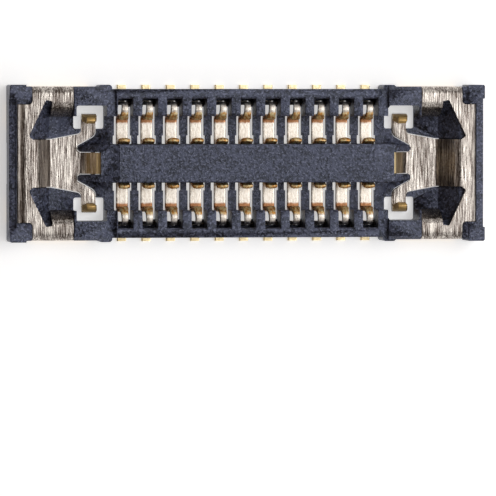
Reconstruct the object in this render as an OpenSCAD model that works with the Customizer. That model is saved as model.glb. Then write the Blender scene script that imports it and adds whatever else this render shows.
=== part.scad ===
// Two-row board-to-board receptacle for a flexible printed circuit.
// A moulded housing holds two rows of bent strip contacts and one formed sheet fitting at each end.
// The frame stands on the board: Z = 0 is the solder plane, X runs along the rows, +Z is the mating side.

/* [Overall] */
// Height of the corner blocks and piers above the board
body_top = 0.57; // [0.55:0.01:0.66]
// Gap between the board and the underside of the housing
stand_off = 0.03; // [0.02:0.005:0.04]
// Width over the two long walls
body_w = 2.10; // [2.08:0.01:2.14]
// Reach of the corner blocks, the ears and the contact tails past the long walls
side_reach = 0.06; // [0.05:0.005:0.08]
// Length of each end, from the centre of the last contact to the end face
end_l = 1.64; // [1.62:0.01:1.72]

/* [Contact rows] */
// Distance between neighbouring contacts
contact_pitch = 0.35; // [0.35:0.01:0.45]
// Contacts in each row
contacts_per_row = 11; // [5:1:11]

/* [Signal contact] */
// Thickness of the contact strip
contact_t = 0.05; // [0.04:0.005:0.055]
// Width of the solder tail
tail_w = 0.13; // [0.11:0.01:0.15]
// Width of the riser that is pressed into the wall
riser_w = 0.095; // [0.08:0.005:0.11]
// Width of the spring at the top of its hoop
neck_w = 0.085; // [0.06:0.005:0.095]
// Width of the outer contact point
point_w = 0.124; // [0.10:0.004:0.14]
// Width of the beam along the bottom
beam_w = 0.17; // [0.15:0.01:0.18]
// Centreline radius of the hoop
hoop_r = 0.085; // [0.08:0.005:0.09]
// Depth of the hoop's top below the top of the housing
hoop_drop = 0.07; // [0.06:0.01:0.10]
// Distance of the riser's centre from the face of the wall's fingers
riser_set = 0.182; // [0.176:0.002:0.19]
// Reach of the outer contact point into the groove
point_reach = 0.055; // [0.04:0.005:0.06]
// Lean of the spring above the outer contact point from upright, in degrees
point_lean = 34; // [26:1:36]
// Lean of the spring below the outer contact point from upright, in degrees
heel_lean = 10; // [6:1:14]
// Height of the beam's underside above the board
beam_lift = 0.055; // [0.05:0.005:0.07]
// Reach of the inner contact point into the groove
crown_reach = 0.09; // [0.07:0.005:0.10]
// Lean of the inner spring arm from upright, in degrees
arm_lean = 30; // [26:1:32]

/* [Housing] */
// Thickness of the long walls with their fingers
wall_t = 0.385; // [0.375:0.005:0.40]
// Thickness of the wall outside the contact slots
wall_skin = 0.135; // [0.12:0.005:0.145]
// Thickness of the floor of the mating groove
floor_t = 0.10; // [0.09:0.01:0.12]
// Width of the centre island
island_w = 0.546; // [0.53:0.01:0.58]
// Depth of the island's top below the top of the housing
island_drop = 0.03; // [0.02:0.005:0.05]
// Depth of the long walls' top below the top of the housing
wall_drop = 0.02; // [0.01:0.005:0.04]
// Width of the contact slots between the fingers
slot_w = 0.22; // [0.20:0.005:0.23]
// Width of the windows in the floor beside the beams
window_w = 0.23; // [0.21:0.01:0.24]
// Width of the pockets on the underside
pocket_w = 0.306; // [0.29:0.01:0.32]
// Width of the centre rib on the underside
keel_w = 0.166; // [0.14:0.01:0.18]
// Thickness of the end wall outside the fitting
end_wall_t = 0.10; // [0.08:0.01:0.12]
// Depth of the end wall's top below the top of the housing
end_wall_drop = 0.13; // [0.10:0.01:0.16]
// Length of the corner blocks
block_l = 0.316; // [0.30:0.01:0.36]
// Distance between the corner blocks of one end
block_gap = 1.68; // [1.60:0.02:1.70]
// Length of the piers
pier_l = 0.468; // [0.46:0.004:0.50]
// Reach of the piers past the long walls
pier_reach = 0.036; // [0.03:0.002:0.042]
// Length of the wings past the end of the island's top
wing_l = 0.295; // [0.275:0.005:0.305]

/* [End layout] */
// Distance from the last contact to the saddle in the wall
saddle_at = 0.126; // [0.12:0.002:0.16]
// Distance from the last contact to the pier
pier_at = 0.26; // [0.24:0.005:0.28]
// Distance from the last contact to the cross web and its ears
web_at = 0.184; // [0.16:0.004:0.22]
// Thickness of the cross web
web_t = 0.19; // [0.15:0.01:0.22]
// Distance from the last contact to the middle of the spring arms
arm_at = 0.4775; // [0.465:0.0025:0.49]
// Distance from the last contact to the middle of the hook's tip
hook_at = 0.235; // [0.225:0.005:0.25]

/* [End fitting] */
// Thickness of the fitting's sheet
sheet_t = 0.075; // [0.06:0.005:0.08]
// Depth of the fitting's rail below the top of the housing
rail_drop = 0.01; // [0.005:0.005:0.03]
// Width of the rail at the end, over the bend
rail_w = 0.22; // [0.20:0.01:0.26]
// Slope of the guide faces, in degrees
guide_angle = 66; // [60:1:72]
// Width of the end guide face
guide_w = 0.67; // [0.60:0.01:0.70]
// Length of the side guide faces
side_guide_l = 0.30; // [0.24:0.01:0.34]
// Height of the lower edge of the side guide faces above the board
side_guide_z = 0.22; // [0.20:0.01:0.26]
// Width of the spring arms
arm_w = 0.205; // [0.18:0.005:0.22]
// Distance over the outer faces of the two spring arms
arm_span = 1.40; // [1.36:0.01:1.42]
// Width of the contact point on a spring arm
arm_point_w = 0.118; // [0.10:0.002:0.14]
// Width of the centre hook
hook_w = 0.30; // [0.26:0.01:0.30]
// Width of the hook's tip
hook_tip_w = 0.20; // [0.16:0.01:0.22]
// Rise of the hook's outer leg, in degrees
hook_angle = 58; // [56:1:62]
// Width of each solder foot at the end
foot_w = 0.365; // [0.30:0.005:0.38]
// Depth of the solder feet inside the end face
foot_inset = 0.025; // [0.01:0.005:0.04]
// Length of the solder edge along each side
side_edge_l = 0.84; // [0.70:0.01:0.86]

/* [Fits] */
// Clearance between the fitting and the housing
fit_gap = 0.01; // [0.005:0.001:0.012]
// Gap round the spring arms of the fitting
spring_gap = 0.115; // [0.10:0.005:0.12]

/* [Hidden] */
$fn = 48;
arc_steps = 6;
over = 0.05;

row_end = (contacts_per_row - 1) * contact_pitch / 2;
rows = ["a", "b"];

// Stations along the length, measured from the middle
body_end = row_end + end_l;
saddle_x0 = row_end + saddle_at;
pier_x0 = row_end + pier_at;
pier_x1 = pier_x0 + pier_l;
web_x0 = row_end + web_at;
web_x1 = web_x0 + web_t;
block_x0 = body_end - block_l;
leg_x = body_end - end_wall_t - fit_gap - sheet_t / 2;
arm_x = row_end + arm_at;
hook_x = row_end + hook_at;

// Stations across the width, measured from the middle
wall_out = body_w / 2;
groove_out = wall_out - wall_t;
island_side = island_w / 2;
keel_side = keel_w / 2;
slot_out = wall_out - wall_skin;
tail_end = wall_out + side_reach;
block_in = block_gap / 2;
pier_out = wall_out + pier_reach;

// Levels above the board
floor_top = stand_off + floor_t;
wall_top = body_top - wall_drop;
island_top = body_top - island_drop;
pocket_top = stand_off + floor_t / 2;
end_underside = stand_off + 0.03;
pad_underside = stand_off + 0.055;
saddle_top = wall_top - 0.05;

// One bent strip, run as a list of steps from its start
// A step is [turn, length or radius, width at its start, width at its end], and a straight has no turn
module strip_run(steps, t, i = 0) {
    if (i < len(steps)) {
        turn = steps[i][0];
        run = steps[i][1];
        w0 = steps[i][2];
        w1 = steps[i][3];
        if (turn == 0) {
            translate([0, 0, -t / 2])
                linear_extrude(t)
                    polygon([[0, -w0 / 2], [run, -w1 / 2], [run, w1 / 2], [0, w0 / 2]]);
            translate([run, 0, 0])
                strip_run(steps, t, i + 1);
        } else {
            side = sign(turn);
            mirror([0, 0, side < 0 ? 1 : 0])
                strip_bend(abs(turn), run, w0, t);
            translate([run * sin(abs(turn)), 0, side * run * (1 - cos(turn))])
                rotate([0, -turn, 0])
                    strip_run(steps, t, i + 1);
        }
    }
}

// One upward bend of a strip round its centreline radius
module strip_bend(turn, r, w, t) {
    translate([0, 0, r])
        rotate([90, 0, 0])
            rotate([0, 0, -90])
                rotate_extrude(angle = turn)
                    translate([r - t / 2, -w / 2])
                        square([t, w]);
}

// Both ends and both sides of the connector
module both_ends() {
    children();
    mirror([1, 0, 0]) children();
}

module both_sides() {
    children();
    mirror([0, 1, 0]) children();
}

// A box between two corners
module span_box(a, b) {
    translate(a) cube(b - a);
}

// Rounded outlines: each corner is [x, y, radius]
function unit(v) = v / norm(v);

function corner_arc(a, b, c, r) =
    let (u = unit(a - b))
    let (w = unit(c - b))
    let (half = acos(u * w) / 2)
    let (middle = b + unit(u + w) * r / sin(half))
    let (from = b + u * r / tan(half) - middle)
    let (to = b + w * r / tan(half) - middle)
    let (start = atan2(from.y, from.x))
    let (raw = atan2(to.y, to.x) - start)
    let (sweep = raw > 180 ? raw - 360 : raw < -180 ? raw + 360 : raw)
    [for (i = [0 : arc_steps]) let (q = start + sweep * i / arc_steps) middle + r * [cos(q), sin(q)]];

function flat_point(p) = [p[0], p[1]];

function rounded(p) = [
    for (i = [0 : len(p) - 1])
        let (a = p[(i + len(p) - 1) % len(p)])
        let (b = p[i])
        let (c = p[(i + 1) % len(p)])
        each (b[2] == 0 ? [flat_point(b)] : corner_arc(flat_point(a), flat_point(b), flat_point(c), b[2]))
];

// A half outline beyond the centre line, joined to its mirror image
function both_halves(p) = concat(p, [for (i = [len(p) - 1 : -1 : 0]) [p[i][0], -p[i][1], p[i][2]]]);

// Signal contact, from the tail inwards
tail_r = 0.055;
point_r = 0.05;
heel_r = 0.065;
arm_r = 0.06;
crown_r = 0.05;
crown_turn = -90;
tip_l = 0.012;
barb_l = 0.045;
barb_slope = 0.03;
barb_z = 0.19;
riser_y = groove_out + riser_set;
tail_l = tail_end - riser_y - tail_r;
tail_taper = 0.07;
beam_z = beam_lift + contact_t / 2;
hoop_z = body_top - hoop_drop - contact_t / 2 - hoop_r;
point_y = groove_out - point_reach + contact_t / 2;
hoop_y = riser_y - hoop_r;
point_drop = (hoop_y - hoop_r * cos(point_lean) - point_y - point_r * (1 - cos(point_lean))) / sin(point_lean);
point_end_z = hoop_z + (hoop_r - point_r) * sin(point_lean) - point_drop * cos(point_lean) - point_r * sin(heel_lean);
heel_top_z = beam_z + heel_r * (1 + sin(heel_lean));
heel_drop = (point_end_z - heel_top_z) / cos(heel_lean);
heel_y = point_y + point_r * (1 - cos(heel_lean)) + heel_drop * sin(heel_lean) - heel_r * cos(heel_lean);
arm_set = 0.099;
arm_y = keel_side + arm_set + contact_t / 2 + arm_r;
crown_y = island_side + crown_reach - contact_t / 2;
arm_rise = (crown_y - crown_r * (1 - cos(arm_lean)) - arm_y + arm_r * cos(arm_lean)) / sin(arm_lean);
arm_spring_w = beam_w - 0.002;

function contact_steps() = [
    [0, tail_l - tail_taper, tail_w, tail_w],
    [0, tail_taper, tail_w, riser_w],
    [90, tail_r, riser_w, riser_w],
    [0, barb_z - barb_slope - tail_r - contact_t / 2, riser_w, riser_w],
    [0, barb_slope, riser_w, slot_w],
    [0, barb_l, slot_w, slot_w],
    [0, barb_slope, slot_w, riser_w],
    [0, hoop_z - barb_z - barb_l - barb_slope, riser_w, neck_w],
    [point_lean - 180, hoop_r, neck_w, neck_w],
    [0, point_drop, neck_w, point_w],
    [-point_lean - heel_lean, point_r, point_w, point_w],
    [0, heel_drop, point_w, beam_w],
    [90 + heel_lean, heel_r, beam_w, beam_w],
    [0, heel_y - arm_y, beam_w, beam_w],
    [90 + arm_lean, arm_r, arm_spring_w, arm_spring_w],
    [0, arm_rise, arm_spring_w, arm_spring_w],
    [crown_turn, crown_r, arm_spring_w, arm_spring_w],
    [0, tip_l, arm_spring_w, arm_spring_w]
];

function contact_x(i) = (i - (contacts_per_row + 1) / 2) * contact_pitch;

// A contact of the row on the +Y side, in the middle of the row
module contact_strip() {
    translate([0, tail_end, contact_t / 2])
        rotate([0, 0, -90])
            strip_run(contact_steps(), contact_t);
}

module signal_contact(row, i) {
    color("gold")
        translate([contact_x(i), 0, 0])
            rotate([0, 0, row == "a" ? 0 : 180])
                contact_strip();
}

// End fitting, one formed sheet, drawn for the +X end
// Each of its shapes can be grown on every side, and the housing is cut by the grown shape
foot_r = 0.0675;
rail_r = 0.0875;
guide_r = 0.08;
hook_root_r = 0.09;
hook_r = 0.075;
spring_r = 0.06;
sheet_low_z = stand_off + sheet_t / 2;
sheet_top_z = body_top - rail_drop - sheet_t / 2;
core_top = sheet_top_z - sheet_t / 2 - fit_gap;
foot_end = body_end - foot_inset;
foot_z = sheet_t / 2;
leg_reach = 0.165;
leg_out_y = arm_span / 2 + leg_reach;
leg_top_w = block_gap - 2 * fit_gap;
leg_step_z = 0.38;
leg_notch_z = 0.24;
rail_x = leg_x - rail_r;
guide_x = leg_x + sheet_t / 2 - rail_w;
guide_drop = sheet_top_z - sheet_low_z;
guide_l = (guide_drop - 2 * guide_r * (1 - cos(guide_angle))) / sin(guide_angle);
sheet_floor_x = guide_x - 2 * guide_r * sin(guide_angle) - guide_l * cos(guide_angle);
guide_side = guide_w / 2;
hook_cover = 0.12;
hook_top_z = island_top - hook_cover;
hook_z = hook_top_z - sheet_t / 2 - hook_r;
hook_tip_z = 0.12;
hook_start_x = hook_x + hook_r * (1 + sin(hook_angle));
hook_start_z = hook_z + hook_r * cos(hook_angle);
hook_leg_l = (hook_start_z - sheet_low_z - hook_root_r * (1 - cos(hook_angle))) / sin(hook_angle);
hook_root_x = hook_start_x + hook_leg_l * cos(hook_angle) + hook_root_r * sin(hook_angle);

plate_y = pier_out - sheet_t / 2;
plate_r = 0.0775;
frame_y = plate_y - plate_r;
side_x0 = pier_x1 + fit_gap;
side_x1 = block_x0 - fit_gap;
lip_r = 0.08;
lip_x1 = side_x0 + side_guide_l;
lip_drop = sheet_top_z - side_guide_z - lip_r * (1 - cos(guide_angle));
lip_l = lip_drop / sin(guide_angle);
lip_set = 0.025;
lip_y = groove_out + lip_set + lip_r * sin(guide_angle) + lip_l * cos(guide_angle);
edge_top_z = 0.18;

arm_end_y = arm_span / 2 - sheet_t / 2 - spring_r;
arm_x0 = arm_x - arm_w / 2;
arm_x1 = arm_x + arm_w / 2;
spring_lean = 18;
spring_tip_lean = 34;
spring_l = 0.19;
spring_tip_l = 0.05;
hook_taper = 0.04;

function end_profile_steps(g) = [
    [guide_angle, guide_r, guide_w + 2 * g, guide_w + 2 * g],
    [0, guide_l, guide_w + 2 * g, guide_w + 2 * g],
    [-guide_angle, guide_r, guide_w + 2 * g, guide_w + 2 * g]
];

// The rail's bend and the leg down to the feet
module end_leg(g) {
    translate([rail_x, 0, sheet_top_z])
        mirror([0, 0, 1])
            strip_run([
                [90, rail_r, leg_top_w + 2 * g, leg_top_w + 2 * g],
                [0, sheet_top_z - rail_r - leg_step_z, leg_top_w + 2 * g, leg_top_w + 2 * g]
            ], sheet_t + 2 * g);
    span_box(
        [leg_x - sheet_t / 2 - g, -leg_out_y - g, leg_notch_z - g],
        [leg_x + sheet_t / 2 + g, leg_out_y + g, leg_step_z + g]
    );
}

// A solder foot, bent outwards from the bottom of the leg
module end_foot(g) {
    width = foot_w + 2 * g;
    translate([leg_x, leg_out_y - foot_w / 2, leg_notch_z])
        rotate([0, 90, 0])
            strip_run([
                [0, leg_notch_z - foot_z - foot_r, width, width],
                [90, foot_r, width, width],
                [0, foot_end - leg_x - foot_r + g, width, width]
            ], sheet_t + 2 * g);
}

// The guide face between the rail and the floor
module end_guide(g) {
    translate([guide_x, 0, sheet_top_z])
        rotate([0, 0, 180])
            mirror([0, 0, 1])
                strip_run(end_profile_steps(g), sheet_t + 2 * g);
}

// The centre hook, which rises from the floor and holds in the end of the island
module centre_hook(g) {
    width = hook_w + 2 * g;
    tip = hook_tip_w + 2 * g;
    translate([hook_root_x, 0, sheet_low_z])
        rotate([0, 0, 180])
            strip_run([
                [hook_angle, hook_root_r, width, width],
                [0, hook_leg_l, width, width],
                [-hook_angle - 90, hook_r, width, width],
                [0, hook_taper, width, tip],
                [0, hook_z - hook_tip_z - hook_taper + g, tip, tip]
            ], sheet_t + 2 * g);
}

// Flat floor between the guide, the hook and the two spring arms
function floor_half(g) = [
    [sheet_floor_x + g, guide_side + g, 0],
    [arm_x1 + g, guide_side + 0.08 + g, 0.06],
    [arm_x1 + g, arm_end_y, 0],
    [arm_x0 - g, arm_end_y, 0],
    [arm_x0 - g, guide_side + 0.065 - g, 0.12],
    [hook_root_x + 0.04 - g, hook_w / 2 + 0.105 - g, 0.02],
    [hook_root_x + 0.04 - g, hook_w / 2 + 0.03 + g, 0.02],
    [hook_root_x, hook_w / 2 + g, 0]
];

module fitting_floor(g) {
    translate([0, 0, stand_off - g])
        linear_extrude(sheet_t + 2 * g)
            polygon(rounded(both_halves(floor_half(g))));
}

// Flat frame round the top, between the rail, the guide faces and the side plates
function frame_half(g) = [
    [guide_x, guide_side + g, 0],
    [guide_x + 0.06 - g, guide_side + 0.05 - g, 0.03],
    [lip_x1 + 0.088 - g, lip_y + 0.02 - g, 0.03],
    [lip_x1 + g, lip_y, 0.02],
    [side_x0 - g, lip_y, 0],
    [side_x0 - g, frame_y, 0],
    [side_x1 + g, frame_y, 0],
    [side_x1 + g, block_in - fit_gap + g, 0.06],
    [rail_x, block_in - fit_gap + g, 0]
];

module fitting_frame(g) {
    translate([0, 0, sheet_top_z - sheet_t / 2 - g])
        linear_extrude(sheet_t + 2 * g)
            polygon(rounded(both_halves(frame_half(g))));
}

// Side guide face, bent down into the groove
module side_guide(g) {
    length = lip_x1 - side_x0 + 2 * g;
    translate([(side_x0 + lip_x1) / 2, lip_y, sheet_top_z])
        rotate([0, 0, -90])
            mirror([0, 0, 1])
                strip_run([
                    [guide_angle, lip_r, length, length],
                    [0, lip_l + g, length, length]
                ], sheet_t + 2 * g);
}

// Side plate outside the wall, with its solder edge on the board
module side_plate(g) {
    length = side_x1 - side_x0 + 2 * g;
    translate([(side_x0 + side_x1) / 2, frame_y, sheet_top_z])
        rotate([0, 0, 90])
            mirror([0, 0, 1])
                strip_run([
                    [90, plate_r, length, length],
                    [0, sheet_top_z - plate_r, length, length]
                ], sheet_t + 2 * g);
    span_box(
        [side_x1 + g - side_edge_l - 2 * g, plate_y - sheet_t / 2 - g, 0],
        [side_x1 + g, plate_y + sheet_t / 2 + g, edge_top_z + g]
    );
}

// Spring arm, bent up at the end of the floor's arm, with its contact point towards the middle
module spring_arm() {
    translate([arm_x, arm_end_y, sheet_low_z])
        rotate([0, 0, 90])
            strip_run([
                [90 + spring_lean, spring_r, arm_w, arm_w],
                [0, spring_l / 2, arm_w, arm_w],
                [0, spring_l / 2, arm_w, arm_point_w],
                [-spring_lean - spring_tip_lean, spring_r, arm_point_w, arm_point_w],
                [0, spring_tip_l, arm_point_w, arm_point_w]
            ], sheet_t);
}

module fitting_body(g) {
    end_leg(g);
    both_sides() end_foot(g);
    end_guide(g);
    centre_hook(g);
    fitting_floor(g);
    fitting_frame(g);
    both_sides() side_guide(g);
    both_sides() side_plate(g);
}

module end_fitting(end) {
    color("silver")
        mirror([end == "left" ? 1 : 0, 0, 0])
            union() {
                fitting_body(0);
                both_sides() spring_arm();
            }
}

// Housing
chamfer = 0.05;
lead_in = 0.04;
slot_lead = 0.025;
pocket_step = 0.04;
slot_floor_z = pocket_top + pocket_step;
ledge_top = barb_z - barb_slope;
ledge_in = riser_y - 0.05;
window_step = 0.018;
window_neck = 0.117;
notch_gap = 0.01;
recess_in = arm_y - arm_r - contact_t / 2 - 0.02;
recess_top = island_top - 0.05;
pocket_out = wall_out - 0.085;
c_out = arm_span / 2 + spring_gap;
c_in = arm_end_y - spring_gap;
c_x0 = arm_x0 - spring_gap;
c_x1 = arm_x1 + spring_gap;
hook_side = hook_w / 2 + fit_gap;
skin_reach = 0.0325;
hook_skin_x = hook_x + hook_r + skin_reach;
wing_x1 = hook_skin_x + wing_l;
bar_set = 0.15;
bar_t = 0.055;
bar_x0 = hook_x + bar_set;
bar_z = pocket_top - 0.03;
pad_side = 0.29;
pad_l = 0.41;
end_lift_l = 0.36;
mould_line_at = 0.65;
mould_step = 0.008;
block_step = 0.08;
block_notch = 0.072;
end_wall_top = body_top - end_wall_drop;
end_wall_side = block_in + block_notch;
opening_r = 0.03;
bend_reach = 0.05;
island_edge = 0.02;
step_at = 0.08;
step_depth = 0.012;

module floor_slab() {
    span_box([-body_end, -wall_out, stand_off], [body_end, wall_out, floor_top]);
}

// Section of a long wall, with a lead-in edge along its fingers
module long_walls() {
    both_sides()
        rotate([90, 0, 90])
            translate([0, 0, -pier_x0])
                linear_extrude(2 * pier_x0)
                    polygon([
                        [groove_out, stand_off],
                        [wall_out, stand_off],
                        [wall_out, wall_top],
                        [groove_out + lead_in, wall_top],
                        [groove_out, wall_top - lead_in]
                    ]);
}

// Pier between the signal wall and the side guide, chamfered along its outer edge
module pier() {
    span_box([pier_x0, groove_out, stand_off], [pier_x1, pier_out - chamfer, body_top]);
    translate([pier_x0, 0, 0])
        rotate([90, 0, 90])
            linear_extrude(pier_x1 - pier_x0)
                polygon([
                    [wall_out - chamfer * 2, stand_off],
                    [pier_out, stand_off],
                    [pier_out, body_top - chamfer],
                    [pier_out - chamfer, body_top],
                    [wall_out - chamfer * 2, body_top]
                ]);
}

// Cross web that ends in a rounded ear on each side
module cross_web() {
    translate([0, 0, stand_off])
        linear_extrude(saddle_top - stand_off)
            polygon(rounded([
                [web_x0, wall_out - chamfer, 0],
                [web_x0, tail_end, 0.045],
                [web_x1, tail_end, 0.045],
                [web_x1, wall_out - chamfer, 0]
            ]));
}

// Section of the wall under the side guide face, which the sheet trims to its own form
module side_core() {
    translate([pier_x1 - over, 0, 0])
        rotate([90, 0, 90])
            linear_extrude(block_x0 - pier_x1 + 2 * over)
                polygon([
                    [groove_out, stand_off],
                    [wall_out, stand_off],
                    [wall_out, core_top],
                    [lip_y, core_top],
                    [groove_out + lip_set, side_guide_z],
                    [groove_out, side_guide_z - 0.03]
                ]);
}

// Section of the end under the rail and the guide face
module end_core() {
    rotate([90, 0, 0])
        translate([0, 0, -wall_out])
            linear_extrude(2 * wall_out)
                polygon([
                    [sheet_floor_x, stand_off],
                    [body_end, stand_off],
                    [body_end, core_top],
                    [guide_x - guide_r * sin(guide_angle) / 2, core_top],
                    [sheet_floor_x + guide_r * sin(guide_angle) / 2, floor_top],
                    [sheet_floor_x, floor_top]
                ]);
}

module end_wall() {
    span_box(
        [body_end - end_wall_t, -block_in - over, stand_off],
        [body_end, block_in + over, wall_top]
    );
}

// Corner block with a rounded inner corner and a lower step towards the rail
module corner_block() {
    step_x = block_x0 + block_step;
    translate([0, 0, stand_off])
        linear_extrude(body_top - stand_off)
            polygon(rounded([
                [step_x, tail_end, 0],
                [step_x, block_in, 0.05],
                [body_end, block_in, 0],
                [body_end, tail_end, 0.03]
            ]));
    translate([0, 0, stand_off])
        linear_extrude(wall_top - stand_off)
            polygon(rounded([
                [block_x0, pier_out, 0.02],
                [block_x0, block_in, 0.06],
                [body_end, block_in, 0],
                [body_end, pier_out, 0.03]
            ]));
}

// Lower top of the end wall, let into the corner blocks on both sides
module end_wall_cut() {
    span_box(
        [body_end - end_wall_t, -end_wall_side, end_wall_top],
        [body_end + over, end_wall_side, body_top + over]
    );
}

// The island's section with chamfered top edges, run along X between two ends
module island_bar(x0, x1) {
    rotate([90, 0, 90])
        translate([0, 0, x0])
            linear_extrude(x1 - x0)
                polygon([
                    [-island_side, stand_off],
                    [island_side, stand_off],
                    [island_side, island_top - island_edge],
                    [island_side - island_edge, island_top],
                    [island_edge - island_side, island_top],
                    [-island_side, island_top - island_edge]
                ]);
}

module island() {
    island_bar(-hook_skin_x, hook_skin_x);
}

// Wings that run down on both sides of the hook
module island_wings() {
    intersection() {
        translate([0, 0, stand_off])
            linear_extrude(island_top - stand_off)
                polygon(rounded([
                    [hook_skin_x - over, hook_side, 0],
                    [wing_x1, hook_side, 0.02],
                    [wing_x1, hook_side + 0.07, 0.03],
                    [hook_skin_x - over, island_side, 0]
                ]));
        rotate([90, 0, 0])
            translate([0, 0, -island_side])
                linear_extrude(2 * island_side)
                    polygon([
                        [hook_skin_x - over, stand_off],
                        [wing_x1, stand_off],
                        [wing_x1, floor_top + 0.08],
                        [hook_skin_x, island_top],
                        [hook_skin_x - over, island_top]
                    ]);
        island_bar(hook_skin_x - over, wing_x1);
    }
}

// Bar that joins the wings under the hook
module wing_bar() {
    span_box([bar_x0, -island_side + over, bar_z], [bar_x0 + bar_t, island_side - over, floor_top]);
}

// Lower step at each end of the island's top
module island_step() {
    span_box(
        [row_end + step_at, -island_side - over, island_top - step_depth],
        [hook_skin_x + over, island_side + over, body_top]
    );
}

// Slot between two fingers, with a ledge that closes its outer part round the riser
module contact_slot() {
    translate([-slot_w / 2, 0, 0])
        rotate([90, 0, 90])
            linear_extrude(slot_w)
                polygon([
                    [groove_out - over, 0],
                    [ledge_in, 0],
                    [ledge_in, ledge_top],
                    [slot_out, ledge_top],
                    [slot_out, wall_top - slot_lead],
                    [slot_out + slot_lead + over, wall_top + over],
                    [groove_out - over, wall_top + over]
                ]);
    span_box(
        [-riser_w / 2 - notch_gap, ledge_in - over, 0],
        [riser_w / 2 + notch_gap, riser_y + contact_t / 2 + notch_gap, ledge_top + over]
    );
}

// Everything that one contact of the +Y row passes through
module contact_pocket() {
    window_y = island_side + window_neck;
    translate([-pocket_w / 2, 0, 0])
        rotate([90, 0, 90])
            linear_extrude(pocket_w)
                polygon([
                    [keel_side, 0],
                    [pocket_out, 0],
                    [pocket_out, slot_floor_z],
                    [groove_out, slot_floor_z],
                    [groove_out, pocket_top],
                    [keel_side, pocket_top]
                ]);
    linear_extrude(body_top)
        polygon([
            [-window_w / 2, groove_out],
            [window_w / 2, groove_out],
            [window_w / 2, window_y],
            [window_w / 2 + window_step, window_y],
            [window_w / 2 + window_step, island_side],
            [-window_w / 2 - window_step, island_side],
            [-window_w / 2 - window_step, window_y],
            [-window_w / 2, window_y]
        ]);
    contact_slot();
    span_box([-slot_w / 2, recess_in, 0], [slot_w / 2, island_side + over, recess_top]);
    span_box(
        [-tail_w / 2 - notch_gap, pocket_out - over, 0],
        [tail_w / 2 + notch_gap, tail_end + over, contact_t + notch_gap]
    );
}

module contact_pockets() {
    for (i = [1 : contacts_per_row])
        translate([contact_x(i), 0, 0])
            both_sides()
                contact_pocket();
}

// Opening round a spring arm, down through the floor
module spring_opening() {
    linear_extrude(body_top + over)
        polygon(rounded([
            [c_x0, c_in, opening_r],
            [c_x1, c_in, opening_r],
            [c_x1, c_out, opening_r],
            [c_x0, c_out, opening_r]
        ]));
}

// Room under the hook, open to the board and crossed by the bar
module hook_opening() {
    difference() {
        span_box([hook_x - sheet_t / 2 - 0.02, -hook_side, 0], [hook_root_x, hook_side, hook_z]);
        wing_bar();
    }
}

// Relief on the underside between the side's solder edge and the cross web
module pier_relief() {
    span_box([web_x1, c_out + 0.02, 0], [side_x1 - side_edge_l, tail_end, stand_off + 0.06]);
}

// Well above the sheet's floor, open to the mating side up to the bend of the guide face
module floor_well() {
    linear_extrude(body_top)
        polygon(rounded(both_halves(floor_half(fit_gap))));
    span_box(
        [sheet_floor_x - over, -guide_side - fit_gap, sheet_low_z],
        [sheet_floor_x + bend_reach, guide_side + fit_gap, body_top]
    );
}

// Underside of the end: a shallow mould line, the lift over the feet and the pad between them
module end_underside() {
    wide = tail_end + over;
    span_box([body_end - mould_line_at, -wide, 0], [body_end + over, wide, stand_off + mould_step]);
    span_box([body_end - end_lift_l, -wide, 0], [body_end + over, wide, end_underside]);
    span_box([body_end - pad_l, -pad_side, 0], [body_end + over, pad_side, pad_underside]);
}

// Lower saddle between the pier and the signal wall
module saddle_cut() {
    span_box([saddle_x0, groove_out - over, saddle_top], [pier_x0, tail_end, body_top + over]);
}

module housing_solid() {
    floor_slab();
    long_walls();
    island();
    both_ends() {
        both_sides() {
            pier();
            cross_web();
            side_core();
            corner_block();
            island_wings();
        }
        end_core();
        end_wall();
        wing_bar();
    }
}

module housing_cuts() {
    contact_pockets();
    both_ends() {
        both_sides() {
            spring_opening();
            saddle_cut();
            pier_relief();
        }
        island_step();
        hook_opening();
        floor_well();
        end_underside();
        end_wall_cut();
        fitting_body(fit_gap);
    }
}

module housing() {
    color("#2b2d38")
        difference() {
            housing_solid();
            housing_cuts();
        }
}

contact_names = [for (row = rows) for (i = [1 : contacts_per_row]) str("contact_", row, i)];

housing();
end_fitting("left");  // end_fitting_left
end_fitting("right");  // end_fitting_right
for (row = rows)
    for (i = [1 : contacts_per_row])
        signal_contact(row, i);
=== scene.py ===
"""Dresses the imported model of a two-row board-to-board receptacle and lights it on a pale table.

Every piece is modelled in millimetres and brought to metres at the end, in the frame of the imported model:
Z = 0 is the solder plane, X runs along the rows, and +Z is the mating side.
"""

import math

import bmesh
import bpy
from mathutils import Matrix, Vector


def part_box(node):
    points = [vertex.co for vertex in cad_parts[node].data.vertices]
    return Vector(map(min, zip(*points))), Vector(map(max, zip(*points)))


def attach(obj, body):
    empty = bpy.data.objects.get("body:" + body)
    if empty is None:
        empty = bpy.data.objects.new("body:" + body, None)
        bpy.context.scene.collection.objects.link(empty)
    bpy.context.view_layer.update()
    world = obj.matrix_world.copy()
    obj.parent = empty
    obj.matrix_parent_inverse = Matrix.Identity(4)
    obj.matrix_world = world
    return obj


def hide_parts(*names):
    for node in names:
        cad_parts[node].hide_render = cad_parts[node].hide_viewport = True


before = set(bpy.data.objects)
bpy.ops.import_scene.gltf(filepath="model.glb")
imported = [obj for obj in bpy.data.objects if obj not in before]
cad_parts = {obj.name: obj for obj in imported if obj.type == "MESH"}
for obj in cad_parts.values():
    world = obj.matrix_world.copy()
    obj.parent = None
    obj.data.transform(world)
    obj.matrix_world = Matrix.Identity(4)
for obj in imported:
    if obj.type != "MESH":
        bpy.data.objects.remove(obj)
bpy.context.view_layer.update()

bl_info = {
    "name": "Board receptacle dressing",
    "version": (1, 0, 0),
    "blender": (4, 5, 0),
    "location": "3D View > Sidebar > Receptacle",
    "description": "Moulded housing, bent strip contacts and formed end fittings of a fine-pitch receptacle",
    "category": "Object",
}

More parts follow.
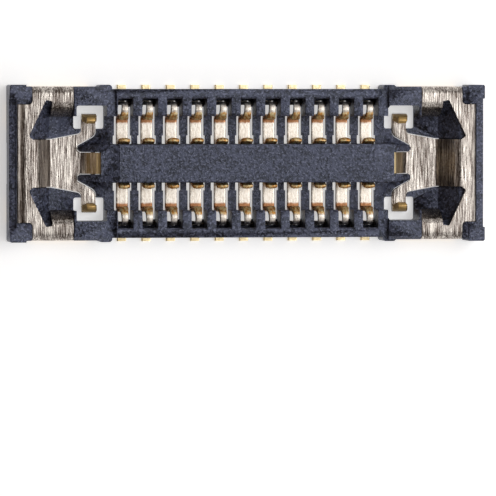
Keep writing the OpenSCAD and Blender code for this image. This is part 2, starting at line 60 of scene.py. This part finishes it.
MM = 0.001
BODY = "root"
ROW_TURN = {"a": 0.0, "b": math.pi}
CONTACTS_PER_ROW = 11
ENDS = ("left", "right")
PITCH = 0.35
BEND_FOOT = 2.865
TAIL_END = 1.11
STRIP = 0.05
BARB_UP = 0.19
TOP = 0.57
SMOOTH_BELOW = math.radians(48)
PHOTO_PIXELS = 496
PHOTO_MIDDLE = (243.2, 162.7)


def linear(hex_code):
    """Linear RGBA of an sRGB hex colour."""
    parts = [int(hex_code[i:i + 2], 16) / 255 for i in (0, 2, 4)]
    return (*[c / 12.92 if c <= 0.04045 else ((c + 0.055) / 1.055) ** 2.4 for c in parts], 1.0)


# Materials


def add_node(tree, kind, inputs=None, **settings):
    """Adds a node with its settings, and sets its inputs or links them from a socket."""
    node = tree.nodes.new(kind)
    for name, value in settings.items():
        setattr(node, name, value)
    for name, value in (inputs or {}).items():
        if isinstance(value, bpy.types.NodeSocket):
            tree.links.new(value, node.inputs[name])
        else:
            node.inputs[name].default_value = value
    return node


def new_material(name):
    """A material with its Principled shader, and the object's own coordinates."""
    material = bpy.data.materials.new(name)
    material.use_nodes = True
    tree = material.node_tree
    tree.nodes.clear()
    shader = add_node(tree, "ShaderNodeBsdfPrincipled")
    add_node(tree, "ShaderNodeOutputMaterial", {"Surface": shader.outputs[0]})
    place = add_node(tree, "ShaderNodeTexCoord").outputs["Object"]
    return material, tree, shader, place


def grain(tree, place, size_mm, detail=3.0, rough=0.6):
    """Noise whose grains have these real sizes along X, Y and Z."""
    scale = [1 / (size * MM) for size in size_mm]
    mapping = add_node(tree, "ShaderNodeMapping", {"Vector": place, "Scale": scale})
    noise = add_node(
        tree,
        "ShaderNodeTexNoise",
        {"Vector": mapping.outputs[0], "Scale": 1.0, "Detail": detail, "Roughness": rough},
    )
    return noise.outputs[0]


def spread(tree, value, low, high, to_low=0.0, to_high=1.0):
    """Brings a value from one range to another, smoothly and held at both ends."""
    return add_node(
        tree,
        "ShaderNodeMapRange",
        {"Value": value, "From Min": low, "From Max": high, "To Min": to_low, "To Max": to_high},
        interpolation_type="SMOOTHSTEP",
    ).outputs[0]


def combine(tree, operation, first, second=0.0):
    """One value from two, or from one where the operation takes one."""
    return add_node(tree, "ShaderNodeMath", {0: first, 1: second}, operation=operation).outputs[0]


def overlap(tree, *shares):
    """The product of several shares, so one only where each of them is one."""
    whole = shares[0]
    for share in shares[1:]:
        whole = combine(tree, "MULTIPLY", whole, share)
    return whole


def mix_colours(tree, share, first, second):
    """Blends two colours by a share."""
    node = add_node(tree, "ShaderNodeMix", {0: share, 6: first, 7: second}, data_type="RGBA")
    return node.outputs[2]


def side_distances(tree, place):
    """Distance from the middle along X and Y and the height above the board, in millimetres."""
    parts = add_node(tree, "ShaderNodeSeparateXYZ", {"Vector": place}).outputs
    along, across, up = (combine(tree, "MULTIPLY", part, 1 / MM) for part in parts)
    return combine(tree, "ABSOLUTE", along), combine(tree, "ABSOLUTE", across), up


def finish_surface(tree, shader, colour, roughness, height, depth_mm):
    """Links a surface's colour, roughness and relief to its shader."""
    bump = add_node(tree, "ShaderNodeBump", {"Height": height, "Distance": depth_mm * MM})
    tree.links.new(colour, shader.inputs["Base Color"])
    tree.links.new(roughness, shader.inputs["Roughness"])
    tree.links.new(bump.outputs[0], shader.inputs["Normal"])


def moulded_lcp(look):
    """Moulded liquid crystal polymer with glass filler: dense blue-black, with a fine mottle and a satin skin."""
    material, tree, shader, place = new_material("moulded_liquid_crystal_polymer")
    mottle = grain(tree, place, (0.048, 0.048, 0.048), detail=3.0, rough=0.8)
    flow = grain(tree, place, (0.22, 0.08, 0.10), detail=2.0)
    fibre = grain(tree, place, (0.036, 0.032, 0.036), detail=2.0)
    cloud = combine(tree, "ADD", mottle, combine(tree, "MULTIPLY", flow, 0.4))
    cloud = spread(tree, cloud, 0.62, 0.78)
    body = mix_colours(tree, cloud, tuple(look.shade), tuple(look.colour))
    specks = spread(tree, fibre, 0.55, 0.64)
    colour = mix_colours(tree, specks, body, tuple(look.fibre))
    rough = spread(tree, mottle, 0.3, 0.7, look.roughness - 0.08, look.roughness + 0.08)
    shader.inputs["IOR"].default_value = 1.65
    shader.inputs["Specular Tint"].default_value = linear("dfe6ff")
    finish_surface(tree, shader, colour, rough, combine(tree, "ADD", mottle, fibre), 0.0110)
    return material


def rolled_sheet(look):
    """Cold-rolled copper alloy under dull nickel: silver, with rolling lines that catch the light as streaks.

    The lines follow the sheet across its flat faces, and turn down with it on the side plates and the flanges.
    """
    material, tree, shader, place = new_material("nickel_plated_rolled_sheet")
    along, across, up = side_distances(tree, place)
    lines = grain(tree, place, (0.013, 0.30, 0.020), detail=1.0, rough=0.6)
    down = grain(tree, place, (0.013, 0.020, 0.30), detail=1.0, rough=0.6)
    flange = overlap(
        tree,
        spread(tree, across, 0.64, 0.67),
        spread(tree, across, 0.87, 0.84),
        spread(tree, along, 2.42, 2.45),
        spread(tree, along, 2.80, 2.79),
    )
    side_plate = spread(tree, across, 1.02, 1.05)
    upright = combine(tree, "MAXIMUM", flange, side_plate)
    lines = combine(tree, "ADD", lines, overlap(tree, upright, combine(tree, "SUBTRACT", down, lines)))
    bands = grain(tree, place, (0.085, 1.6, 0.085), detail=1.0)
    pits = grain(tree, place, (0.018, 0.040, 0.030), detail=3.0, rough=0.7)
    streak = combine(tree, "ADD", combine(tree, "MULTIPLY", lines, 2.0), combine(tree, "ADD", bands, pits))
    dark = spread(tree, streak, 1.62, 1.98)
    bright = spread(tree, streak, 2.02, 2.36)
    nickel = mix_colours(tree, dark, tuple(look.groove_and_bend_shade), tuple(look.colour))
    nickel = mix_colours(tree, bright, nickel, tuple(look.ridge))
    spring_tip = overlap(tree, spread(tree, across, 0.52, 0.57), spread(tree, along, 2.40, 2.36))
    hook_width = spread(tree, across, 0.30, 0.22)
    hook = overlap(tree, spread(tree, along, 2.42, 2.34), hook_width)
    raised = spread(tree, up, 0.14, 0.22)
    flashed = combine(tree, "MAXIMUM", spring_tip, overlap(tree, hook, 0.34))
    on_a_foot = combine(tree, "MAXIMUM", spread(tree, across, 0.80, 0.86), spread(tree, along, 3.12, 3.18))
    soldered = overlap(tree, spread(tree, up, 0.09, 0.04), on_a_foot)
    gold = combine(tree, "MAXIMUM", overlap(tree, flashed, raised), soldered)
    colour = mix_colours(tree, gold, nickel, tuple(look.gold))
    # Painted highlight: a band of brighter gold along the hook's crest, standing in for the light that the curve
    # would catch.
    crest_highlight = overlap(tree, spread(tree, along, 2.155, 2.135), hook_width, raised)
    colour = mix_colours(tree, crest_highlight, colour, tuple(look.crest_highlight))
    # Painted shade: a dark line along the foot of each end slope's lower bend, where shade falls in the bend, drawn
    # in the rolling-groove colour.
    from_bend = combine(tree, "ABSOLUTE", combine(tree, "SUBTRACT", along, BEND_FOOT))
    bend_foot_shade = overlap(
        tree,
        spread(tree, from_bend, 0.020, 0.008, 0.0, 0.75),
        spread(tree, up, 0.26, 0.20),
        spread(tree, across, 0.98, 0.94),
    )
    colour = mix_colours(tree, bend_foot_shade, colour, tuple(look.groove_and_bend_shade))
    rough = spread(tree, pits, 0.3, 0.7, look.roughness - 0.08, look.roughness + 0.12)
    rough = combine(tree, "ADD", rough, combine(tree, "MULTIPLY", gold, 0.2))
    shader.inputs["Metallic"].default_value = 1.0
    finish_surface(tree, shader, colour, rough, streak, 0.0020)
    return material


def plated_spring(look):
    """Spring strip with bright nickel, and a gold flash on its contact points and tail."""
    material, tree, shader, place = new_material("gold_flashed_spring_strip")
    along, across, up = side_distances(tree, place)
    smear = grain(tree, place, (0.030, 0.060, 0.050), detail=3.0)
    scratch = grain(tree, place, (0.012, 0.16, 0.16), detail=2.0)
    patchy = spread(tree, smear, 0.35, 0.65)
    wander = combine(tree, "MULTIPLY", combine(tree, "SUBTRACT", smear, 0.5), 0.05)
    reach = combine(tree, "ADD", across, wander)
    raised = spread(tree, combine(tree, "ADD", up, wander), 0.14, 0.20)
    point = combine(tree, "MULTIPLY", spread(tree, reach, 0.735, 0.705), raised)
    # Painted shadow and reflection: a copper-brown band on the beam at the heel's bend, just inside the outer
    # point, where the point shades the beam.
    heel_shadow = overlap(
        tree,
        spread(tree, reach, 0.555, 0.585),
        spread(tree, up, 0.24, 0.16),
        spread(tree, reach, 0.72, 0.68),
    )
    # Painted shade: the gold turns deeper near each strip's side edges, darkening them as shade would.
    pitch_share = combine(tree, "FRACT", combine(tree, "ADD", combine(tree, "DIVIDE", along, PITCH), 0.5))
    off_middle = combine(tree, "ABSOLUTE", combine(tree, "SUBTRACT", pitch_share, 0.5))
    edge_shade = spread(tree, off_middle, 0.055 / PITCH, 0.078 / PITCH)
    nickel = mix_colours(tree, patchy, tuple(look.shade), tuple(look.colour))
    plated = mix_colours(tree, patchy, tuple(look.deep_gold_and_edge_shade), tuple(look.gold))
    plated = mix_colours(tree, combine(tree, "MULTIPLY", edge_shade, 0.8), plated, tuple(look.deep_gold_and_edge_shade))
    colour = mix_colours(tree, point, nickel, plated)
    # Paints the copper-brown shadow band at the heel.
    colour = mix_colours(tree, heel_shadow, colour, tuple(look.copper))
    colour = mix_colours(tree, spread(tree, across, 0.90, 0.95), colour, tuple(look.tail))
    rough = spread(tree, smear, 0.3, 0.7, look.roughness - 0.06, look.roughness + 0.10)
    rough = combine(tree, "ADD", rough, combine(tree, "MULTIPLY", point, 0.15))
    shader.inputs["Metallic"].default_value = 1.0
    finish_surface(tree, shader, colour, rough, combine(tree, "ADD", smear, scratch), 0.0012)
    return material


def rays_that_show(tree):
    """One for the rays that show a surface as it is: to the camera, in a reflection or through glass."""
    path = add_node(tree, "ShaderNodeLightPath").outputs
    shown = combine(tree, "MAXIMUM", path["Is Camera Ray"], path["Is Glossy Ray"])
    return combine(tree, "MAXIMUM", shown, path["Is Transmission Ray"])


def table_paper(strength):
    """Matt white table: what the camera sees is lifted to white, and the object's shadow stays."""
    material, tree, shader, _ = new_material("matt_white_table")
    shader.inputs["Base Color"].default_value = linear("f2f2f2")
    shader.inputs["Roughness"].default_value = 0.9
    shader.inputs["Specular IOR Level"].default_value = 0.0
    lift = combine(tree, "MULTIPLY", rays_that_show(tree), strength)
    shader.inputs["Emission Color"].default_value = linear("ffffff")
    tree.links.new(lift, shader.inputs["Emission Strength"])
    return material


# Shapes


def put_mesh(shape, name, material, slot, *nodes):
    """Makes a modelled shape a piece of the part in metres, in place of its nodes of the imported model."""
    bmesh.ops.recalc_face_normals(shape, faces=shape.faces)
    bmesh.ops.scale(shape, vec=(MM, MM, MM), verts=shape.verts)
    mesh = bpy.data.meshes.new(name)
    shape.to_mesh(mesh)
    shape.free()
    mesh.materials.append(material)
    mesh.shade_smooth()
    mesh.set_sharp_from_angle(angle=SMOOTH_BELOW)
    piece = bpy.data.objects.new(name, mesh)
    bpy.context.scene.collection.objects.link(piece)
    weights = piece.modifiers.new("even_faces", "WEIGHTED_NORMAL")
    weights.keep_sharp = True
    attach(piece, BODY)
    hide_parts(*nodes)


def solid_copy(node):
    """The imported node's mesh in millimetres, with its loose triangles merged to whole faces."""
    shape = bmesh.new()
    shape.from_mesh(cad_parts[node].data)
    bmesh.ops.scale(shape, vec=(1 / MM, 1 / MM, 1 / MM), verts=shape.verts)
    bmesh.ops.remove_doubles(shape, verts=shape.verts, dist=0.0001)
    bmesh.ops.dissolve_limit(
        shape, angle_limit=math.radians(0.5), verts=shape.verts, edges=shape.edges
    )
    return shape


def round_edges(shape, radius, least_angle=40.0):
    """Rounds the sharp edges that have room for it on both sides and at both ends."""
    room = radius * 2.6
    sharp = {
        edge
        for edge in shape.edges
        if edge.is_manifold and edge.calc_face_angle(0.0) > math.radians(least_angle)
    }

    def has_room(edge):
        if edge.calc_length() < room:
            return False
        return all(
            other.calc_length() > room for vert in edge.verts for other in vert.link_edges
        )

    chosen = [edge for edge in shape.edges if edge in sharp and has_room(edge)]
    bmesh.ops.bevel(
        shape,
        geom=chosen,
        offset=radius,
        offset_type="OFFSET",
        segments=2,
        profile=0.5,
        affect="EDGES",
        clamp_overlap=False,
        material=-1,
    )


def section_of_strip(width, sheet, corner, columns):
    """The strip's cross-section as a small grid of faces, across Y and Z, with rounded corners."""
    shape = bmesh.new()
    bmesh.ops.create_grid(shape, x_segments=columns, y_segments=1, size=0.5)
    bmesh.ops.transform(
        shape, matrix=Matrix(((0, 0, 1, 0), (1, 0, 0, 0), (0, 1, 0, 0), (0, 0, 0, 1))), verts=shape.verts
    )
    bmesh.ops.scale(shape, vec=(1, width, sheet), verts=shape.verts)
    corners = [vert for vert in shape.verts if len(vert.link_edges) == 2]
    bmesh.ops.bevel(
        shape,
        geom=corners,
        offset=corner,
        offset_type="OFFSET",
        segments=2,
        profile=0.5,
        affect="VERTICES",
        material=-1,
    )
    return shape


def bend_strip(steps, sheet, corner, columns=6):
    """Draws one strip along its steps of turn, run, width and dome at the end, and returns the closed shape."""
    width = steps[0]["width"]
    shape = section_of_strip(width, sheet, corner, columns)
    front = list(shape.faces)
    stand = Matrix.Identity(4)
    rings = []
    dome = 0.0
    for step in steps:
        turn = math.radians(step.get("turn", 0.0))
        run = step["run"]
        last_width = width
        last_dome = dome
        dome = step.get("dome", 0.0)
        parts = step.get("parts") or (max(2, round(abs(turn) / math.radians(11))) if turn else 1)
        for part in range(1, parts + 1):
            share = part / parts
            eased = share * share * (3 - 2 * share) if step.get("ease") else share
            new_width = last_width + (step["width"] - last_width) * eased
            side = math.copysign(1.0, turn)
            bit = turn / parts
            if turn:
                move = Matrix.Translation((run * math.sin(abs(bit)), 0, side * run * (1 - math.cos(bit))))
                move = move @ Matrix.Rotation(-bit, 4, "Y")
            else:
                move = Matrix.Translation((run / parts, 0, 0))
            grown = bmesh.ops.extrude_face_region(shape, geom=front)["geom"]
            front = [item for item in grown if isinstance(item, bmesh.types.BMFace)]
            verts = [item for item in grown if isinstance(item, bmesh.types.BMVert)]
            stretch = Matrix.Diagonal((1, new_width / width, 1, 1))
            bmesh.ops.transform(shape, matrix=stand @ move @ stretch @ stand.inverted(), verts=verts)
            stand = stand @ move
            width = new_width
            rings.append((stand.copy(), verts, last_dome + (dome - last_dome) * share, width))
    for place, verts, rise, wide in rings:
        if rise:
            back = place.inverted()
            normal = place.to_3x3() @ Vector((0, 0, 1))
            for vert in verts:
                off = 2 * (back @ vert.co).y / wide
                vert.co -= normal * (rise * off * off)
    return shape


def contact_steps(look):
    """Runs and bends of one signal contact from its solder tail inwards, in millimetres.

    BARB_UP is the height of the barbs that grip the moulding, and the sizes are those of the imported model.
    """
    half = STRIP / 2
    lean, heel_lean, arm_lean = math.radians(34), math.radians(10), math.radians(30)
    tail_r, hoop_r, point_r, heel_r, arm_r, crown_r = 0.055, 0.085, 0.05, 0.065, 0.06, 0.05
    riser_y, groove_y, point_reach = 0.847, 0.665, 0.055
    neck_end, barb, barb_ease = 0.07, 0.045, 0.03
    beam_z = 0.055 + half
    hoop_z = TOP - 0.07 - half - hoop_r
    point_y = groove_y - point_reach + half
    hoop_y = riser_y - hoop_r
    point_drop = hoop_y - hoop_r * math.cos(lean) - point_y - point_r * (1 - math.cos(lean))
    point_drop /= math.sin(lean)
    point_end_z = hoop_z + (hoop_r - point_r) * math.sin(lean) - point_drop * math.cos(lean)
    point_end_z -= point_r * math.sin(heel_lean)
    heel_drop = (point_end_z - beam_z - heel_r * (1 + math.sin(heel_lean))) / math.cos(heel_lean)
    heel_y = point_y + point_r * (1 - math.cos(heel_lean)) + heel_drop * math.sin(heel_lean)
    heel_y -= heel_r * math.cos(heel_lean)
    arm_y = 0.083 + 0.099 + half + arm_r
    crown_y = 0.273 + 0.09 - half
    arm_rise = crown_y - crown_r * (1 - math.cos(arm_lean)) - arm_y + arm_r * math.cos(arm_lean)
    arm_rise /= math.sin(arm_lean)
    return [
        {"run": 0.002, "width": 0.13},
        {"run": TAIL_END - riser_y - tail_r - neck_end - 0.002, "width": 0.13},
        {"run": neck_end, "width": 0.095, "parts": 4, "ease": True},
        {"turn": 90, "run": tail_r, "width": 0.095},
        {"run": BARB_UP - barb_ease - tail_r - half, "width": 0.095},
        {"run": barb_ease, "width": 0.22},
        {"run": barb, "width": 0.22},
        {"run": barb_ease, "width": 0.095},
        {"run": hoop_z - BARB_UP - barb - barb_ease, "width": 0.085, "parts": 3, "ease": True},
        {"turn": -146, "run": hoop_r, "width": 0.102, "dome": look.neck_dome, "parts": 14, "ease": True},
        {"run": point_drop, "width": 0.124, "dome": look.point_dome, "parts": 5, "ease": True},
        {"turn": -44, "run": point_r, "width": 0.124, "dome": look.point_dome, "parts": 6},
        {"run": heel_drop, "width": 0.17, "parts": 5, "ease": True},
        {"turn": 100, "run": heel_r, "width": 0.17},
        {"run": heel_y - arm_y, "width": 0.17},
        {"turn": 120, "run": arm_r, "width": 0.168},
        {"run": arm_rise * 0.7, "width": 0.168},
        {"run": arm_rise * 0.3, "width": 0.164, "dome": look.crown_dome, "parts": 2},
        {"turn": -90, "run": crown_r, "width": 0.158, "dome": look.crown_dome, "parts": 10},
        {"run": 0.006, "width": 0.146, "dome": look.crown_dome},
        {"run": 0.006, "width": 0.12, "dome": look.crown_dome},
    ]


# Settings


def colour_of(name, text, code):
    """A colour that a user may change, from its sRGB hex value."""
    return bpy.props.FloatVectorProperty(
        name=name, description=text, subtype="COLOR", size=4, min=0.0, max=1.0, default=linear(code)
    )


def length_of(name, text, default_mm, most_mm):
    """A length that a user may change, given in millimetres and kept in metres."""
    return bpy.props.FloatProperty(
        name=name,
        description=text,
        default=default_mm * MM,
        min=0.0,
        max=most_mm * MM,
        precision=6,
        unit="LENGTH",
        subtype="DISTANCE",
    )


def share_of(name, text, default, most=1.0):
    """A plain number that a user may change."""
    return bpy.props.FloatProperty(
        name=name, description=text, default=default, min=0.0, max=most, subtype="FACTOR"
    )


class HousingLook(bpy.types.PropertyGroup):
    """Moulded housing."""

    colour: colour_of("Plastic", "Skin of the moulded polymer", "464a5d")
    shade: colour_of("Plastic shade", "Darker clouds in the polymer", "07080d")
    fibre: colour_of("Filler", "Specks of the filler at the skin", "686c80")
    roughness: share_of("Roughness", "Roughness of the moulded skin", 0.4)
    edge_round: length_of("Edge round", "Radius of the moulded edges", 0.007, 0.02)


class FittingLook(bpy.types.PropertyGroup):
    """Formed end fittings."""

    colour: colour_of("Nickel", "Dull nickel of the flat sheet", "958d87")
    # The rolling-groove colour also paints the shade along the foot of the end bends.
    groove_and_bend_shade: colour_of("Rolling groove", "Dark lines that the rolls leave", "50463f")
    ridge: colour_of("Rolling ridge", "Bright lines that the rolls leave", "d9d2c9")
    gold: colour_of("Gold flash", "Gold on the spring points and the feet", "f4d08e")
    # Painted highlight colour for the band along the hook's crest.
    crest_highlight: colour_of("Crest", "Bright gold along the hook's crest", "fbe6b4")
    roughness: share_of("Roughness", "Roughness of the plated sheet", 0.34)
    edge_round: length_of("Edge round", "Radius of the sheared edges", 0.008, 0.02)


class ContactLook(bpy.types.PropertyGroup):
    """Signal contacts."""

    colour: colour_of("Nickel", "Bright nickel of the beam and the hoop", "e6dfd5")
    shade: colour_of("Nickel shade", "Darker clouds in the nickel", "b9afa3")
    gold: colour_of("Gold flash", "Gold on the outer point and the crown", "fff0c0")
    deep_gold_and_edge_shade: colour_of("Deep gold", "Darker clouds and rims of the gold", "dda055")
    # Deep gold is both the gold's own darker clouds and the painted shade along the strips' side edges.
    tail: colour_of("Tinned tail", "Pale gold of the solder tail", "f2dfb4")
    # Copper here is the colour of a painted shadow and reflection under the outer point, at the heel's bend.
    copper: colour_of("Copper", "Thin plating over the copper at the heel's bend", "94694a")
    roughness: share_of("Roughness", "Roughness of the plated strip", 0.38)
    corner: length_of("Strip corner", "Radius of the strip's four edges", 0.006, 0.02)
    neck_dome: share_of("Neck dome", "Fall of the neck's sides, in millimetres", 0.006, 0.02)
    point_dome: share_of("Point dome", "Fall of the outer point's sides, in millimetres", 0.012, 0.02)
    crown_dome: share_of("Crown dome", "Fall of the crown's sides, in millimetres", 0.018, 0.03)


class StageLook(bpy.types.PropertyGroup):
    """Table, light and camera."""

    table_size: length_of("Table", "Radius of the table", 160, 400)
    lift: share_of("Table white", "How far the table is lifted to white for the camera", 0.5)
    ambient: share_of("Ambient", "Strength of the room's light on matt surfaces", 0.8, 2.0)
    bright: share_of("Window", "Strength of the room's bright side, right of overhead", 1.05, 2.0)
    dim: share_of("Ceiling", "Strength of the room's dim side, over the camera", 0.12, 2.0)
    dim_tone: colour_of("Ceiling tone", "Tone of the room's dim side", "c9ab94")
    key: bpy.props.FloatProperty(
        name="Key", description="Power of the key lamp", default=0.013, unit="POWER"
    )
    fill: bpy.props.FloatProperty(
        name="Side lamp", description="Power of the side lamp", default=0.0022, unit="POWER"
    )
    view_width: length_of("View width", "Width of the object plane that the camera sees", 7.06, 50)
    side_view: bpy.props.FloatProperty(
        name="Side view", description="Turn of the camera to the left", default=math.radians(8), unit="ROTATION"
    )
    back_view: bpy.props.FloatProperty(
        name="Back view", description="Turn of the camera to the back", default=math.radians(0.8), unit="ROTATION"
    )
    lens: bpy.props.FloatProperty(name="Lens", description="Focal length", default=400, subtype="DISTANCE_CAMERA")


class ReceptacleSettings(bpy.types.PropertyGroup):
    """All settings of the part."""

    housing: bpy.props.PointerProperty(type=HousingLook)
    fitting: bpy.props.PointerProperty(type=FittingLook)
    contact: bpy.props.PointerProperty(type=ContactLook)
    stage: bpy.props.PointerProperty(type=StageLook)


# Operators


class RECEPTACLE_OT_housing(bpy.types.Operator):
    """Rounds the moulded edges of the housing and gives it its polymer skin"""

    bl_idname = "receptacle.housing"
    bl_label = "Moulded housing"

    def execute(self, context):
        look = context.scene.receptacle.housing
        shape = solid_copy("housing")
        round_edges(shape, look.edge_round / MM)
        put_mesh(shape, "moulded_housing", moulded_lcp(look), "housing_plastic", "housing")
        return {"FINISHED"}


class RECEPTACLE_OT_end_fittings(bpy.types.Operator):
    """Rounds the sheared edges of the two formed fittings and plates them"""

    bl_idname = "receptacle.end_fittings"
    bl_label = "End fittings"

    def execute(self, context):
        look = context.scene.receptacle.fitting
        material = rolled_sheet(look)
        for end in ENDS:
            node = "end_fitting_" + end
            shape = solid_copy(node)
            round_edges(shape, look.edge_round / MM)
            put_mesh(shape, "formed_sheet_" + end, material, "fitting_metal", node)
        return {"FINISHED"}


class RECEPTACLE_OT_contacts(bpy.types.Operator):
    """Bends the strip of every signal contact and puts it in its slot"""

    bl_idname = "receptacle.contacts"
    bl_label = "Signal contacts"

    def execute(self, context):
        look = context.scene.receptacle.contact
        material = plated_spring(look)
        for row, turn in ROW_TURN.items():
            for number in range(1, CONTACTS_PER_ROW + 1):
                node = f"contact_{row}{number}"
                low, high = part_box(node)
                shape = bend_strip(contact_steps(look), STRIP, look.corner / MM)
                stand = Matrix.Translation(((low.x + high.x) / 2 / MM, 0, 0))
                stand = stand @ Matrix.Rotation(turn, 4, "Z")
                stand = stand @ Matrix.Translation((0, TAIL_END, STRIP / 2))
                stand = stand @ Matrix.Rotation(-math.pi / 2, 4, "Z")
                bmesh.ops.transform(shape, matrix=stand, verts=shape.verts)
                put_mesh(shape, f"bent_strip_{row}{number}", material, "contact_metal", node)
        return {"FINISHED"}


def add_lamp(name, power, width_mm, place_mm, aim_mm):
    """A soft square lamp that looks at a point."""
    lamp = bpy.data.lights.new(name, "AREA")
    lamp.energy = power
    lamp.size = width_mm * MM
    holder = bpy.data.objects.new(name, lamp)
    bpy.context.scene.collection.objects.link(holder)
    holder.location = Vector(place_mm) * MM
    holder.rotation_euler = (Vector(aim_mm) - Vector(place_mm)).to_track_quat("-Z", "Y").to_euler()


class RECEPTACLE_OT_stage(bpy.types.Operator):
    """Lays the table, hangs the lamps and sets the camera"""

    bl_idname = "receptacle.stage"
    bl_label = "Stage"

    def execute(self, context):
        look = context.scene.receptacle.stage
        scene = context.scene
        shape = bmesh.new()
        bmesh.ops.create_circle(shape, cap_ends=True, segments=64, radius=look.table_size)
        mesh = bpy.data.meshes.new("table")
        shape.to_mesh(mesh)
        shape.free()
        mesh.materials.append(table_paper(look.lift))
        table = bpy.data.objects.new("table", mesh)
        scene.collection.objects.link(table)

        add_lamp("key_lamp", look.key, 34, (26, 8, 66), (0, 0, 0))
        add_lamp("side_lamp", look.fill, 30, (72, -6, 20), (0, 0, 0))

        world = bpy.data.worlds.new("studio")
        scene.world = world
        world.use_nodes = True
        tree = world.node_tree
        tree.nodes.clear()
        place = add_node(tree, "ShaderNodeTexCoord").outputs["Generated"]
        side, _, height = add_node(tree, "ShaderNodeSeparateXYZ", {"Vector": place}).outputs
        window = combine(tree, "MULTIPLY", spread(tree, side, -0.06, 0.12), spread(tree, side, 1.0, 0.70, 0.4, 1.0))
        window = combine(tree, "MAXIMUM", window, spread(tree, side, -0.72, -0.95, 0.0, 0.45))
        horizon = spread(tree, height, 0.22, 0.05)
        lit = spread(tree, window, 0.0, 1.0, look.dim, look.bright)
        lit = add_node(tree, "ShaderNodeMix", {0: horizon, 2: lit, 3: 1.0}).outputs[0]
        level = add_node(
            tree, "ShaderNodeMapRange", {"Value": rays_that_show(tree), "To Min": look.ambient, "To Max": 1.0}
        ).outputs[0]
        pale = combine(tree, "MAXIMUM", window, horizon)
        tone = mix_colours(tree, pale, tuple(look.dim_tone), linear("ffffff"))
        light = add_node(
            tree, "ShaderNodeBackground", {"Color": tone, "Strength": combine(tree, "MULTIPLY", lit, level)}
        )
        add_node(tree, "ShaderNodeOutputWorld", {"Surface": light.outputs[0]})

        camera = bpy.data.cameras.new("photo_camera")
        camera.lens = look.lens
        camera.sensor_width = 36
        holder = bpy.data.objects.new("photo_camera", camera)
        scene.collection.objects.link(holder)
        scene.camera = holder
        away = look.view_width * look.lens / camera.sensor_width
        rise = math.cos(look.side_view) * math.cos(look.back_view)
        holder.location = Vector((-math.sin(look.side_view), math.sin(look.back_view), rise)) * away
        pixel = look.view_width / PHOTO_PIXELS
        shelf = Vector((math.cos(look.side_view), 0, math.sin(look.side_view)))
        off_x, off_y = (PHOTO_PIXELS / 2 - middle for middle in PHOTO_MIDDLE)
        aim = shelf * off_x * pixel - Vector((0, 1, 0)) * off_y * pixel
        back = (holder.location - aim).normalized()
        right = Vector((0, 1, 0)).cross(back).normalized()
        holder.rotation_mode = "QUATERNION"
        holder.rotation_quaternion = Matrix((right, back.cross(right), back)).transposed().to_quaternion()
        camera.clip_start = away * 0.01
        camera.clip_end = away * 10
        scene.view_settings.view_transform = "Standard"
        return {"FINISHED"}


STEPS = (RECEPTACLE_OT_stage, RECEPTACLE_OT_housing, RECEPTACLE_OT_end_fittings, RECEPTACLE_OT_contacts)


class RECEPTACLE_PT_panel(bpy.types.Panel):
    """Lists the steps and the settings of the receptacle"""

    bl_label = "Receptacle"
    bl_idname = "RECEPTACLE_PT_panel"
    bl_space_type = "VIEW_3D"
    bl_region_type = "UI"
    bl_category = "Receptacle"

    def draw(self, context):
        settings = context.scene.receptacle
        for step in STEPS:
            self.layout.operator(step.bl_idname)
        for group in (settings.housing, settings.fitting, settings.contact, settings.stage):
            box = self.layout.box()
            for name in group.__annotations__:
                box.prop(group, name)


CLASSES = (
    HousingLook,
    FittingLook,
    ContactLook,
    StageLook,
    ReceptacleSettings,
    *STEPS,
    RECEPTACLE_PT_panel,
)


def register():
    """Registers the classes and puts the settings on the scene."""
    for item in CLASSES:
        bpy.utils.register_class(item)
    bpy.types.Scene.receptacle = bpy.props.PointerProperty(type=ReceptacleSettings)


def unregister():
    """Takes the settings and the classes away again."""
    del bpy.types.Scene.receptacle
    for item in reversed(CLASSES):
        bpy.utils.unregister_class(item)


def main():
    """Runs every step in order."""
    register()
    bpy.ops.receptacle.stage()
    bpy.ops.receptacle.housing()
    bpy.ops.receptacle.end_fittings()
    bpy.ops.receptacle.contacts()


if __name__ == "__main__":
    main()
